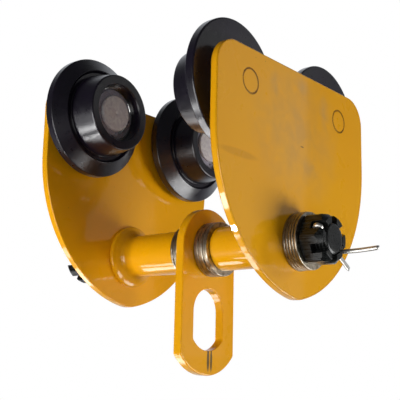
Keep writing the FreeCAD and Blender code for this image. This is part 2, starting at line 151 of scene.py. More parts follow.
def add(tree, kind, inputs=None, **settings):
    """Adds a node; kind is its type without "ShaderNode". inputs maps a socket's name or number to a value, a
    hex colour, a node for a link from its first output, or (node, output) for a link from another one."""
    made = tree.nodes.new("ShaderNode" + kind)
    for key, value in settings.items():
        setattr(made, key, value)
    for key, value in (inputs or {}).items():
        if isinstance(value, bpy.types.Node):
            value = (value, 0)
        if isinstance(value, tuple) and isinstance(value[0], bpy.types.Node):
            tree.links.new(value[0].outputs[value[1]], made.inputs[key])
        else:
            made.inputs[key].default_value = rgba(linear(value)) if isinstance(value, str) else value
    return made


def new_material(name):
    """An empty node material with its output, and a Texture Coordinate node."""
    material = bpy.data.materials.new(name)
    material.use_nodes = True
    tree = material.node_tree
    tree.nodes.clear()
    return material, tree, add(tree, "TexCoord")


def shade(tree, **sockets):
    """Principled shader and output. A socket's spaces are written as underscores."""
    shader = add(tree, "BsdfPrincipled", {k.replace("_", " "): v for k, v in sockets.items()})
    add(tree, "OutputMaterial", {"Surface": (shader, "BSDF")})


def per_mm(size):
    """Texture scale on metre coordinates for a pattern of that size in millimetres."""
    return 1 / (size * MM)


def wave_per_mm(size):
    """Wave texture scale on a UV in millimetres for bands of that size; its own period is pi / 10."""
    return math.pi / 10 / size


# ---- materials ----------------------------------------------------------------------------------
def spot(tree, at, centre, reach, soft=0.5):
    """1 inside an ellipsoid of that centre and reach in mm, fading to 0 over its outer soft share."""
    scale = [1 / (r * MM) for r in reach]
    moved = add(tree, "VectorMath", {0: at, 1: [c * MM for c in centre]}, operation="SUBTRACT")
    sized = add(tree, "VectorMath", {0: moved, 1: scale}, operation="MULTIPLY")
    distance = add(tree, "VectorMath", {0: sized}, operation="LENGTH")
    return add(tree, "MapRange", {0: (distance, 1), 1: 1 - soft, 2: 1.0, 3: 1.0, 4: 0.0})


def marked(tree, at, colour, places, soft, pattern, amounts, code):
    """Colour changed to the hex code inside each (centre, reach) of places. The mask times the pattern runs
    from amounts[0] to amounts[1], and the change from nothing to amounts[2]. Also returns the last change."""
    change = None
    for centre, reach in places:
        inside = spot(tree, at, centre, reach, soft)
        broken = add(tree, "Math", {0: inside, 1: pattern}, operation="MULTIPLY")
        start, full, most = amounts
        change = add(tree, "MapRange", {0: broken, 1: start, 2: full, 3: 0.0, 4: most})
        mixed = add(tree, "Mix", {0: change, MIX_A: colour, MIX_B: code}, data_type="RGBA")
        colour = (mixed, MIX_OUT)
    return colour, change


def yellow_enamel(settings, name="yellow_polyurethane_enamel", chips=(), hazes_and_sheen=(), painted_shade=(), scuffs=(),
                  cut_edges=0.0, dark_edge_width=0.0):
    """Sprayed two-part polyurethane enamel: deep glossy yellow with faint orange peel and a few dark specks.
    chips, hazes_and_sheen, painted_shade and scuffs are (centre, reach) of places where it is knocked off,
    dulled by handling and paled by a painted sheen of the white surroundings, painted a deeper yellow as
    painted shade and a painted dark reflection, or rubbed to the primer. cut_edges is the relief of the drag
    lines that flame cutting leaves on the edges; dark_edge_width is the width of a dark line painted along
    the corners."""
    material, tree, place = new_material(name)
    at = (place, "Object")
    # Slow drift of the film's thickness makes the yellow a little deeper in places.
    drift = add(tree, "TexNoise", {"Vector": at, "Scale": per_mm(70), "Detail": 2.0})
    base = add(tree, "Mix", {0: drift, MIX_A: rgba(settings.paint), MIX_B: rgba(settings.paint_deep)},
               data_type="RGBA")
    # Handling haze and painted sheen: pale, slightly pink patches with a clouded edge. The last one, the
    # widest, is a painted sheen of the white surroundings over the whole face, and is duller too.
    cloud = add(tree, "TexNoise", {"Vector": at, "Scale": per_mm(14), "Detail": 3.0, "Distortion": 0.5})
    colour, dulled = marked(tree, at, (base, MIX_OUT), hazes_and_sheen, 0.9, cloud, (0.12, 0.60, 0.45), "B8935F")
    # Painted shade: patches painted a deeper yellow where shade and a dark reflection fall.
    colour, _ = marked(tree, at, colour, painted_shade, 0.35, 1.0, (0.0, 1.0, 0.5), "C98A08")
    # Specks of dirt under the film, half a millimetre across and centimetres apart.
    speck = add(tree, "TexVoronoi", {"Vector": at, "Scale": per_mm(17)})
    speck_mask = add(tree, "MapRange", {0: speck, 1: 0.012, 2: 0.03, 3: 0.7, 4: 0.0})
    specked = add(tree, "Mix", {0: speck_mask, MIX_A: colour, MIX_B: "4A2C08"}, data_type="RGBA")
    colour = (specked, MIX_OUT)
    # Chips have a ragged edge and show the brown primer.
    if chips:
        fine = add(tree, "TexNoise", {"Vector": at, "Scale": per_mm(1.6), "Detail": 4.0})
        colour, _ = marked(tree, at, colour, chips, 0.6, fine, (0.22, 0.36, 0.85), "5A3420")
    # A rub runs up and down, so its grain is stretched along Z.
    if scuffs:
        stretch = add(tree, "Mapping", {"Vector": at, "Scale": (1.0, 1.0, 0.12)})
        grain = add(tree, "TexNoise", {"Vector": stretch, "Scale": per_mm(1.5), "Detail": 4.0})
        colour, _ = marked(tree, at, colour, scuffs, 0.45, grain, (0.10, 0.40, 0.9), "4E4736")
    if dark_edge_width:
        # Where the rounded normal leaves the true one a corner is near, and a dark line is painted there.
        soft = add(tree, "Bevel", {"Radius": dark_edge_width * MM}, samples=8)
        true = add(tree, "NewGeometry")
        agree = add(tree, "VectorMath", {0: soft, 1: (true, "True Normal")}, operation="DOT_PRODUCT")
        corner = add(tree, "MapRange", {0: (agree, 1), 1: 0.90, 2: 0.995, 3: 0.85, 4: 0.0})
        lined = add(tree, "Mix", {0: corner, MIX_A: colour, MIX_B: "5C3606"}, data_type="RGBA")
        colour = (lined, MIX_OUT)
    rough = add(tree, "MapRange", {0: cloud, 1: 0.3, 2: 0.75, 3: 0.26, 4: 0.34})
    if dulled:
        rough = add(tree, "Math", {0: rough, 1: dulled}, operation="ADD")
    # Orange peel: shallow waves a few millimetres long, over slower ones.
    peel = add(tree, "TexNoise", {"Vector": at, "Scale": per_mm(2.8), "Detail": 2.0, "Roughness": 0.4})
    waves = add(tree, "TexNoise", {"Vector": at, "Scale": per_mm(21), "Detail": 1.0})
    slow = add(tree, "Bump", {"Height": waves, "Strength": 0.30, "Distance": 0.20 * MM})
    bump = add(tree, "Bump", {"Height": peel, "Strength": 0.14, "Distance": 0.05 * MM, "Normal": slow})
    if cut_edges:
        # Drag lines cross the cut edges along Y, so they are a pattern in X and Z, kept off the faces.
        flat_y = add(tree, "Mapping", {"Vector": at, "Scale": (1.0, 0.04, 1.0)})
        lines = add(tree, "TexNoise", {"Vector": flat_y, "Scale": per_mm(1.5), "Detail": 2.0})
        facing = add(tree, "SeparateXYZ", {0: (place, "Normal")})
        across = add(tree, "Math", {0: (facing, "Y")}, operation="ABSOLUTE")
        edge_mask = add(tree, "MapRange", {0: across, 1: 0.2, 2: 0.7, 3: 1.0, 4: 0.0})
        height = add(tree, "Math", {0: lines, 1: edge_mask}, operation="MULTIPLY")
        bump = add(tree, "Bump", {"Height": height, "Strength": 0.6, "Distance": cut_edges * MM,
                                  "Normal": bump})
    shade(tree, Base_Color=colour, Roughness=rough, IOR=1.5, Specular_IOR_Level=0.12, Coat_Weight=0.55,
          Coat_Roughness=0.05, Coat_IOR=1.5, Normal=bump, Coat_Normal=bump)
    return material


def black_enamel(settings):
    """Stove enamel over turned steel: gloss black with a faint violet cast, lathe rings showing through."""
    material, tree, place = new_material("black_stove_enamel")
    at = (place, "Object")
    tint = add(tree, "TexNoise", {"Vector": at, "Scale": per_mm(26), "Detail": 2.0})
    colour = add(tree, "Mix", {0: tint, MIX_A: rgba(settings.wheel_black),
                               MIX_B: rgba(settings.wheel_violet)}, data_type="RGBA")
    # Turning marks are 0.15 mm apart; they are drawn 0.6 mm apart along the profile so that they show.
    rings = add(tree, "TexWave", {"Vector": (place, "UV"), "Scale": wave_per_mm(0.6), "Distortion": 0.6,
                                  "Detail": 2.0}, bands_direction="Y")
    dust = add(tree, "TexNoise", {"Vector": at, "Scale": per_mm(5), "Detail": 6.0, "Roughness": 0.65})
    rough = add(tree, "MapRange", {0: dust, 1: 0.35, 2: 0.75, 3: 0.27, 4: 0.40})
    fine = add(tree, "Bump", {"Height": (rings, "Fac"), "Strength": 0.08, "Distance": 0.01 * MM})
    bump = add(tree, "Bump", {"Height": dust, "Strength": 0.10, "Distance": 0.04 * MM, "Normal": fine})
    shade(tree, Base_Color=(colour, MIX_OUT), Roughness=rough, IOR=1.5, Coat_Weight=0.5,
          Coat_Roughness=0.24, Coat_IOR=1.5, Normal=bump)
    return material


def zinc_plate(settings):
    """Bright zinc plating: pale grey metal with rubbed rings and dull grey blotches, tinted yellow-brown as a
    painted reflection of the yellow plates.
    """
    material, tree, place = new_material("zinc_plated_steel")
    at = (place, "Object")
    # Stamping and handling marks run round the part: stretched across the axis, fine along it.
    stretch = add(tree, "Mapping", {"Vector": at, "Scale": (0.10, 1.0, 0.10)})
    marks = add(tree, "TexNoise", {"Vector": stretch, "Scale": per_mm(0.55), "Detail": 4.0})
    blotch = add(tree, "TexNoise", {"Vector": at, "Scale": per_mm(6), "Detail": 5.0, "Roughness": 0.6})
    # Both zinc colours are tinted yellow-brown: a painted reflection of the yellow plates.
    toned = add(tree, "Mix", {0: blotch, MIX_A: rgba(settings.zinc), MIX_B: rgba(settings.zinc_dull)},
                data_type="RGBA")
    # Grime keeps to the marks and darkens them.
    grime = add(tree, "MapRange", {0: marks, 1: 0.46, 2: 0.62, 3: 0.0, 4: 0.7})
    colour = add(tree, "Mix", {0: grime, MIX_A: (toned, MIX_OUT), MIX_B: "4A3E2A"}, data_type="RGBA")
    rough = add(tree, "MapRange", {0: marks, 1: 0.3, 2: 0.7, 3: 0.26, 4: 0.50})
    bump = add(tree, "Bump", {"Height": marks, "Strength": 0.4, "Distance": 0.05 * MM})
    shade(tree, Base_Color=(colour, MIX_OUT), Metallic=1.0, Roughness=rough, Normal=bump)
    return material


def black_oxide(settings):
    """Black oxide over milled steel: near-black and satin, rubbed grey along the tool marks."""
    material, tree, place = new_material("black_oxide_steel")
    at = (place, "Object")
    # Tool marks run along the shaft, so they are stretched along Y.
    stretch = add(tree, "Mapping", {"Vector": at, "Scale": (1.0, 0.07, 1.0)})
    marks = add(tree, "TexNoise", {"Vector": stretch, "Scale": per_mm(0.9), "Detail": 5.0,
                                   "Roughness": 0.65})
    rub_mask = add(tree, "MapRange", {0: marks, 1: 0.45, 2: 0.8, 3: 0.0, 4: 0.8})
    colour = add(tree, "Mix", {0: rub_mask, MIX_A: rgba(settings.oxide),
                               MIX_B: rgba(settings.oxide_rubbed)}, data_type="RGBA")
    rough = add(tree, "MapRange", {0: marks, 1: 0.3, 2: 0.7, 3: 0.24, 4: 0.38})
    edges = add(tree, "Bevel", {"Radius": 0.45 * MM}, samples=6)
    bump = add(tree, "Bump", {"Height": marks, "Strength": 0.22, "Distance": 0.03 * MM, "Normal": edges})
    shade(tree, Base_Color=(colour, MIX_OUT), Metallic=0.35, Roughness=rough, Normal=bump)
    return material


def turned_steel(settings):
    """Turned steel under a dried film of clear grease: pale and soft, mottled over the tool's rings."""
    material, tree, place = new_material("greased_turned_steel")
    at = (place, "Object")
    stain = add(tree, "TexNoise", {"Vector": at, "Scale": per_mm(6), "Detail": 5.0, "Distortion": 1.6})
    colour = add(tree, "Mix", {0: stain, MIX_A: rgba(settings.steel), MIX_B: rgba(settings.steel_stained)},
                 data_type="RGBA")
    # Tool rings on the end face, from the piece's own UV: V runs out along the profile in millimetres.
    rings = add(tree, "TexWave", {"Vector": (place, "UV"), "Scale": wave_per_mm(0.7), "Distortion": 1.5,
                                  "Detail": 2.0}, bands_direction="Y")
    rough = add(tree, "MapRange", {0: stain, 1: 0.3, 2: 0.7, 3: 0.46, 4: 0.70})
    dents = add(tree, "Bump", {"Height": stain, "Strength": 0.5, "Distance": 0.35 * MM})
    bump = add(tree, "Bump", {"Height": (rings, "Fac"), "Strength": 0.25, "Distance": 0.03 * MM,
                              "Normal": dents})
    shade(tree, Base_Color=(colour, MIX_OUT), Metallic=0.1, Roughness=rough, Normal=bump)
    return material


def spring_steel(settings):
    """Phosphated spring strip: even mid grey with a fine matt grain."""
    material, tree, place = new_material("phosphated_spring_steel")
    at = (place, "Object")
    grain = add(tree, "TexNoise", {"Vector": at, "Scale": per_mm(1.1), "Detail": 5.0})
    colour = add(tree, "Mix", {0: grain, MIX_A: rgba(settings.spring), MIX_B: rgba(settings.spring_dark)},
                 data_type="RGBA")
    rough = add(tree, "MapRange", {0: grain, 1: 0.3, 2: 0.7, 3: 0.42, 4: 0.6})
    bump = add(tree, "Bump", {"Height": grain, "Strength": 0.2, "Distance": 0.02 * MM})
    shade(tree, Base_Color=(colour, MIX_OUT), Metallic=0.9, Roughness=rough, Normal=bump)
    return material


def bearing_steel(settings):
    """Ground and honed chrome steel: bright and smooth, with faint grinding lines round the ring."""
    material, tree, place = new_material("ground_bearing_steel")
    at = (place, "Object")
    stretch = add(tree, "Mapping", {"Vector": at, "Scale": (0.08, 1.0, 0.08)})
    lines = add(tree, "TexNoise", {"Vector": stretch, "Scale": per_mm(0.4), "Detail": 3.0})
    colour = add(tree, "Mix", {0: lines, MIX_A: "C9C9C6", MIX_B: "A5A6A6"}, data_type="RGBA")
    rough = add(tree, "MapRange", {0: lines, 1: 0.3, 2: 0.7, 3: 0.10, 4: 0.22})
    bump = add(tree, "Bump", {"Height": lines, "Strength": 0.12, "Distance": 0.01 * MM})
    shade(tree, Base_Color=(colour, MIX_OUT), Metallic=1.0, Roughness=rough, Normal=bump)
    return material


def lit_floor():
    """Opal acrylic studio floor lit from inside: pale and matt, almost even, slightly cloudy."""
    material, tree, place = new_material("opal_acrylic_floor")
    cloud = add(tree, "TexNoise", {"Vector": (place, "Object"), "Scale": 1.4, "Detail": 4.0})
    colour = add(tree, "Mix", {0: cloud, MIX_A: "EDEDEB", MIX_B: "E3E3E1"}, data_type="RGBA")
    shade(tree, Base_Color="6A6A6A", Roughness=0.7, Emission_Color=(colour, MIX_OUT), Emission_Strength=0.9)
    return material


def white_backdrop():
    """Evenly lit white cyclorama, seen only as the background."""
    material, tree, _ = new_material("white_cyclorama")
    light = add(tree, "Emission", {"Color": "FFFFFF", "Strength": 1.0})
    add(tree, "OutputMaterial", {"Surface": light})
    return material


# ---- surfaces -----------------------------------------------------------------------------------
def rounded(corners, closed=True, steps=6, support=0.35):
    """Outline through (along, radius, fillet) corners. Each corner becomes an arc of its fillet, tangent to
    both sides, with one more point a little way along each side, so that flats stay flat when shaded
    smooth. No corner may lie on the straight line between its neighbours."""
    points = np.array([corner[:2] for corner in corners], float)
    fillets = np.maximum(np.array([corner[2] for corner in corners], float), 0.02)
    back = np.roll(points, 1, 0) - points
    ahead = np.roll(points, -1, 0) - points
    back_length = np.linalg.norm(back, axis=1, keepdims=True)
    ahead_length = np.linalg.norm(ahead, axis=1, keepdims=True)
    back, ahead = back / back_length, ahead / ahead_length
    half = np.arccos(np.clip((back * ahead).sum(1), -0.99999, 0.99999)) / 2
    cut = (fillets / np.tan(half))[:, None]
    cut = np.minimum(cut, 0.45 * np.minimum(back_length, ahead_length))
    fillets = cut * np.tan(half)[:, None]
    bisector = back + ahead
    bisector /= np.linalg.norm(bisector, axis=1, keepdims=True)
    centre = points + bisector * fillets / np.sin(half)[:, None]
    start, end = points + back * cut - centre, points + ahead * cut - centre
    turn = (np.pi - 2 * half)[:, None, None]
    share = np.linspace(0, 1, steps)[None, :, None]
    arc = (np.sin((1 - share) * turn) * start[:, None] + np.sin(share * turn) * end[:, None]) / np.sin(turn)
    arc += centre[:, None]
    lead = points + back * (cut + np.minimum(support, 0.25 * (back_length - cut)))
    tail = points + ahead * (cut + np.minimum(support, 0.25 * (ahead_length - cut)))
    loops = np.concatenate([lead[:, None], arc, tail[:, None]], axis=1)
    if closed:
        return loops.reshape(-1, 2)
    inner = loops[1:-1].reshape(-1, 2)
    return np.vstack([points[:1], inner, points[-1:]])


def revolve(profile, count=128):
    """Rings about the Y axis: x = r cos a, z = r sin a, y = along, for every (along, r) and every angle a."""
    turn = np.linspace(0, 2 * np.pi, count, endpoint=False)
    along, radius = profile[:, 0, None], profile[:, 1, None]
    return np.stack([radius * np.cos(turn), along + 0 * turn, radius * np.sin(turn)], axis=2)


def to_left(rings):
    """Half a turn about Z takes the right side's rings to the left."""
    return rings * (-1.0, -1.0, 1.0)


def at_wheel(rings, wheel, like="_wheel"):
    """Rings drawn along +Y from the right plate's inner face, moved to the axis of one wheel's node."""
    x, z = middle(wheel + like, 0), middle(wheel + like, 2)
    if wheel.endswith("right"):
        return rings + (x, -INNER_Y, z)
    return to_left(rings + (-x, -INNER_Y, z))


def skin(rings, ends="caps"):
    """Vertices, faces and UVs of a surface through closed rings. ends is "caps" for a fan over each end, or
    "loop" where the last ring joins the first. U runs round and V along the surface, both in millimetres."""
    rows, count = rings.shape[:2]
    vertices = rings.reshape(-1, 3)
    step = np.linalg.norm(np.diff(rings, axis=0), axis=2).mean(axis=1)
    travel = np.concatenate([[0.0], np.cumsum(step)])
    around = np.linalg.norm(rings[rows // 2] - np.roll(rings[rows // 2], 1, 0), axis=1).mean()
    last = rows if ends == "loop" else rows - 1
    row, column = np.meshgrid(np.arange(last), np.arange(count), indexing="ij")
    below, beside = (row + 1) % rows, (column + 1) % count
    quads = np.stack([row * count + column, row * count + beside, below * count + beside,
                      below * count + column], 2).reshape(-1, 4)
    u = np.stack([column, column + 1, column + 1, column], 2).reshape(-1, 4) * around
    v_low = travel[row]
    closing = travel[-1] + np.linalg.norm(rings[0] - rings[-1], axis=1).mean()
    v_high = np.where(row + 1 < rows, travel[np.minimum(row + 1, rows - 1)], closing)
    v = np.stack([v_low, v_low, v_high, v_high], 2).reshape(-1, 4)
    faces = [quads]
    uvs = [np.stack([u, v], 2).reshape(-1, 2)]
    if ends == "caps":
        centres = np.stack([rings[0].mean(0), rings[-1].mean(0)])
        vertices = np.vstack([vertices, centres])
        rim = np.arange(count)
        following = (rim + 1) % count
        first_fan = np.stack([following, rim, np.full(count, rows * count)], 1)
        base = (rows - 1) * count
        last_fan = np.stack([base + rim, base + following, np.full(count, rows * count + 1)], 1)
        for fan, at, ring in ((first_fan, 0.0, rings[0]), (last_fan, travel[-1], rings[-1])):
            reach = np.linalg.norm(ring - ring.mean(0), axis=1).mean()
            sign = -1 if at == 0.0 else 1
            fan_v = np.tile([at, at, at + sign * reach], (count, 1))
            fan_u = np.stack([rim + 1, rim, rim + 0.5], 1) * around
            faces.append(fan)
            uvs.append(np.stack([fan_u, fan_v], 2).reshape(-1, 2))
    return vertices, faces, np.vstack(uvs)


def enclosed(vertices, blocks):
    """Six times the volume inside blocks of faces. It is negative where they face inwards."""
    total = 0.0
    for block in blocks:
        for second in range(1, block.shape[1] - 1):
            a, b, c = (vertices[block[:, corner]] for corner in (0, second, second + 1))
            total += (a * np.cross(b, c)).sum()
    return total


def piece(name, skins, material, body, replaces=()):
    """One object from one or more closed skins, in metres, riding on its body."""
    vertices, faces, uvs = [], [], []
    offset = 0
    for skin_vertices, skin_faces, skin_uvs in skins:
        turn = slice(None, None, -1 if enclosed(skin_vertices, skin_faces) < 0 else 1)
        start = 0
        for block in skin_faces:
            block_uv = skin_uvs[start:start + block.size].reshape(*block.shape, 2)
            start += block.size
            faces.extend((block[:, turn] + offset).tolist())
            uvs.append(block_uv[:, turn].reshape(-1, 2))
        vertices.append(skin_vertices)
        offset += len(skin_vertices)
    mesh = bpy.data.meshes.new(name)
    mesh.from_pydata((np.vstack(vertices) * MM).tolist(), [], faces)
    layer = mesh.uv_layers.new(name="surface_mm")
    layer.data.foreach_set("uv", np.vstack(uvs).astype(np.float32).ravel())
    mesh.polygons.foreach_set("use_smooth", np.ones(len(mesh.polygons), bool))
    mesh.materials.append(material)
    mesh.update()
    made = bpy.data.objects.new(name, mesh)
    bpy.context.scene.collection.objects.link(made)
    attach(made, body)
    if replaces:
        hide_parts(*replaces)
    return made


def finish_cad(node, material):
    """Gives a CAD node that keeps its shape a better material."""
    shown = NODES[node]
    for material_slot in shown.material_slots:
        material_slot.material = material


# ---- the pieces' shapes -------------------------------------------------------------------------
def wheel_rings(sizes):
    """Turned wheel: back face, rim, coned flange face, relief groove, tread tapered like a beam's flange,
    hub face and stepped bore, as one closed profile carried round the axle."""
    shoulder = WHEEL_BACK + sizes.flange_depth
    tread_start = shoulder - 0.2
    groove = shoulder - sizes.groove_depth
    rim_front = WHEEL_BACK + sizes.rim_width
    lip = BORE_R - LIP_DEPTH
    corners = [
        (WHEEL_BACK, lip, 0.3), (WHEEL_BACK, FLANGE_R, 1.1), (rim_front, FLANGE_R, 0.9),
        (shoulder, sizes.shoulder_radius, 0.45), (groove, sizes.shoulder_radius - 1.9, 0.7),
        (groove, sizes.tread_radius - 1.1, 0.6), (tread_start, sizes.tread_radius - 0.9, 0.3),
        (tread_start + 0.7, sizes.tread_radius, 0.9), (HUB_END - TREAD_MIDDLE[0], TREAD_MIDDLE[1], 60.0),
        (HUB_END, sizes.hub_radius, 1.2),
        (HUB_END, BORE_R + 0.9, 0.25), (HUB_END - 0.9, BORE_R, 0.25), (BEARING_START, BORE_R, 0.2),
        (BEARING_START, lip, 0.3)]
    return revolve(rounded(corners), 160)


def axle_rings():
    """Shoulder, journal, circlip groove and a slightly domed end with a shallow lathe centre."""
    clip_start = CLIP_FACE - CLIP_WIDTH
    corners = [
        (0.0, POLE_R, 0), (0.0, AXLE_SHOULDER_R, 0.5), (BEARING_START, AXLE_SHOULDER_R, 0.5),
        (BEARING_START, JOURNAL_R, 0.3), (clip_start, JOURNAL_R, 0.15), (clip_start, CLIP_SEAT_R, 0.1),
        (CLIP_FACE, CLIP_SEAT_R, 0.1), (CLIP_FACE, JOURNAL_R, 0.15),
        (AXLE_END - 0.55, JOURNAL_R, 1.1), (AXLE_END, 6.0, 8.0), (AXLE_END, 1.9, 0.4),
        (AXLE_END - 1.2, POLE_R / 2, 0)]
    return revolve(rounded(corners, closed=False), 96)


def rivet_rings():
    """Rivet end dressed flush with the plate and painted over."""
    outside = -(OUTER_Y - INNER_Y)
    inside = outside + RIVET_DEPTH
    corners = [(outside, POLE_R, 0), (outside, RIVET_R, 0.15), (inside, RIVET_R, 0.2), (inside, POLE_R, 0)]
    return revolve(rounded(corners, closed=False), 96)


def collar_rings():
    """Tube with its bearing collar. The weld between them is a hollow taper with soft ripples: the radius
    there gets a small wave round the tube and a slower uneven one."""
    free = INNER_Y - TUBE_FREE_END
    corners = [
        (0.0, TUBE_BORE_R, 0.3), (0.0, COLLAR_R, 0.8), (3.4, COLLAR_R, 1.6), (4.6, COLLAR_R - 3.2, 3.0),
        (7.0, TUBE_R + 1.4, 3.0), (COLLAR_LENGTH + 0.6, TUBE_R, 6.0), (free, TUBE_R, 0.5),
        (free, TUBE_BORE_R, 0.5)]
    profile = rounded(corners, steps=8)
    rings = revolve(profile, 144)
    turn = np.linspace(0, 2 * np.pi, 144, endpoint=False)
    along, radius = profile[:, 0, None], profile[:, 1, None]
    weld = np.exp(-((along - 6.2) / 1.9) ** 2) * (radius > TUBE_R - 0.1)
    wave = 0.16 * np.sin(46 * turn + 1.1 * np.sin(5 * turn)) + 0.22 * np.sin(3 * turn + 0.6)
    grow = 1 + weld * wave / radius
    rings[:, :, 0] *= grow
    rings[:, :, 2] *= grow
    return rings


def washer_skins(start, widths, seed):
    """Washers side by side from the Y level start, each a rounded ring a little off centre on the shaft."""
    random = np.random.default_rng(seed)
    skins = []
    for width in widths:
        near, far = start + WASHER_GAP, start + width - WASHER_GAP
        corners = [(near, WASHER_BORE_R, 0.25), (near, WASHER_R, 0.5), (far, WASHER_R, 0.5),
                   (far, WASHER_BORE_R, 0.25)]
        rings = revolve(rounded(corners, steps=5), 128)
        drop = random.uniform((-0.2, 0, -0.4), (0.2, 0, -0.1))
        skins.append(skin(rings + (0.0, 0.0, SHAFT_Z) + drop, "loop"))
        start += width
    return skins


def shaft_rings(sizes):
    """Rod with a thread at each end: the radius falls by the thread's depth times a rounded saw-tooth of
    (distance / pitch - turn), so the groove is a helix, and a bevel cuts it off at the end."""
    turn = np.linspace(0, 2 * np.pi, 96, endpoint=False)[None, :]
    right_end, left_end = SHAFT_ENDS
    starts = THREAD_OVERLAP - NUT_FACES["right"], NUT_FACES["left"] - THREAD_OVERLAP
    step = sizes.thread_pitch / 10
    along = np.concatenate([np.arange(right_end + 0.4, starts[0], step), np.linspace(*starts, 12)[1:-1],
                            np.arange(left_end - 0.4, starts[1], -step)[::-1]])[:, None]
    phase = along / sizes.thread_pitch - turn / (2 * np.pi)
    ridge = np.clip(1.6 * np.abs(2 * (phase - np.floor(phase)) - 1) - 0.3, 0, 1)
    beyond = np.maximum(starts[0] - along, along - starts[1])
    radius = SHAFT_R - 0.02 - sizes.thread_depth * (1 - ridge) * np.clip(beyond / 3.0, 0, 1)
    to_end = np.minimum(along - right_end, left_end - along)
    end_r = SHAFT_R - SHAFT_END_BEVEL
    radius = np.minimum(radius, end_r + 1.1 * to_end)
    rod = np.stack([radius * np.cos(turn), along + 0 * turn, radius * np.sin(turn)], axis=2)
    # The end faces bulge a little less towards the rim.
    share = np.array([0.25, 0.55, 0.8, 0.95])[:, None]
    disc_r = end_r * share
    sag = 0.35 * share ** 4

    def disc(level):
        return np.stack([disc_r * np.cos(turn), level + 0 * turn, disc_r * np.sin(turn)], axis=2)
    whole = np.concatenate([disc(right_end + sag), rod, disc(left_end - sag)[::-1]])
    return whole + (0.0, 0.0, SHAFT_Z)


def arc_points(centre, radius, start, end, count):
    turn = np.radians(np.linspace(start, end, count))
    return np.stack([centre[0] + radius * np.cos(turn), centre[1] + radius * np.sin(turn)], 1)


def cotter_rings(sizes, side):
    """Half-round wire carried along the pin's line: bent leg, eye and short leg. The section's flat side
    stays on the inside of the fold; p runs along the legs, q outwards along the shaft, and the bent leg's
    end curls out of that plane."""
    degrees, bent_leg, curl = COTTERS[side]
    wire, gap, neck_r = sizes.wire_radius, COTTER_GAP, COTTER_NECK_R
    eye_r = sizes.eye_radius
    eye_p = wire + eye_r - COTTER_EYE_END
    neck_q = gap + neck_r
    neck_p = eye_p + math.sqrt((eye_r + neck_r) ** 2 - neck_q ** 2)
    neck_turn = math.degrees(math.atan2(neck_q, neck_p - eye_p))
    bend_p, bend_r = COTTER_BEND
    leg_q = np.linspace(gap + bend_r + bent_leg, gap + bend_r + 0.6, 24)
    line = np.vstack([
        np.stack([np.full(24, bend_p + bend_r), leg_q], 1),
        arc_points((bend_p, gap + bend_r), bend_r, 0, -90, 12),
        np.stack([np.linspace(bend_p, neck_p, 16)[1:], np.full(15, gap)], 1),
        arc_points((neck_p, neck_q), neck_r, -90, -180 + neck_turn, 10)[1:],
        arc_points((eye_p, 0), eye_r, neck_turn, 360 - neck_turn, 40)[1:],
        arc_points((neck_p, -neck_q), neck_r, 180 - neck_turn, 90, 10)[1:],
        np.stack([np.linspace(neck_p, sizes.short_leg, 24)[1:], np.full(23, -gap)], 1)])
    # The bent leg isn't quite straight: it leans by these two squares of the share of its length.
    reach = np.clip((line[:, 1] - gap - bend_r) / max(bent_leg, 1.0), 0, 1)
    line[:, 0] += 1.2 * reach ** 2 - 0.8 * reach
    forward = np.gradient(line, axis=0)
    forward /= np.linalg.norm(forward, axis=1, keepdims=True)
    outward = np.stack([forward[:, 1], -forward[:, 0]], 1)
    turn = np.linspace(0, np.pi, 13)
    flat = np.linspace(-1, 1, 7)[1:-1]
    wide = np.concatenate([np.cos(turn), flat]) * wire
    bulge = np.concatenate([np.sin(turn), 0 * flat]) * wire
    taper = np.ones(len(line))
    taper[[0, -1]] = 0.86
    p = line[:, 0, None] + outward[:, 0, None] * bulge * taper[:, None]
    q = line[:, 1, None] + outward[:, 1, None] * bulge * taper[:, None]
    t = wide[None, :] * taper[:, None] + curl * (3.2 * reach ** 2 - 1.6 * reach)[:, None]
    angle = math.radians(degrees)
    x = p * math.cos(angle) - t * math.sin(angle)
    z = p * math.sin(angle) + t * math.cos(angle)
    return np.stack([x, -(NUT_FACES[side] + sizes.cotter_height + q), SHAFT_Z + z], 2)


# ---- settings -----------------------------------------------------------------------------------
def colour_setting(name, code, description):
    return bpy.props.FloatVectorProperty(name=name, description=description, subtype="COLOR", size=3,
                                         min=0.0, max=1.0, default=linear(code))


def size_setting(name, value, description):
    return bpy.props.FloatProperty(name=name, description=description + ", in millimetres", default=value)


class TrolleyFinishes(bpy.types.PropertyGroup):
    paint: colour_setting("Yellow", "EAA80A", "Enamel of the plates and tubes")
    paint_deep: colour_setting("Deep yellow", "E39C06", "Enamel where the film is thicker")
    wheel_black: colour_setting("Wheel black", "060608", "Enamel of the wheels")
    wheel_violet: colour_setting("Wheel cast", "170D22", "Cast of the wheels' enamel")
    zinc: colour_setting("Zinc", "C8C0B0", "Bright zinc plating")
    zinc_dull: colour_setting("Dull zinc", "8C8270", "Dulled zinc plating")
    oxide: colour_setting("Black oxide", "080909", "Nuts and shaft ends")
    oxide_rubbed: colour_setting("Rubbed oxide", "454846", "Black oxide where it is rubbed")
    steel: colour_setting("Bare steel", "F0EEE6", "Ends of the wheel axles")
    steel_stained: colour_setting("Stained steel", "A698A6", "Ends of the wheel axles where stained")
    spring: colour_setting("Spring steel", "C6C0CC", "Circlips, cages and shields")
    spring_dark: colour_setting("Dark spring steel", "7C7882", "Grain of the circlips")


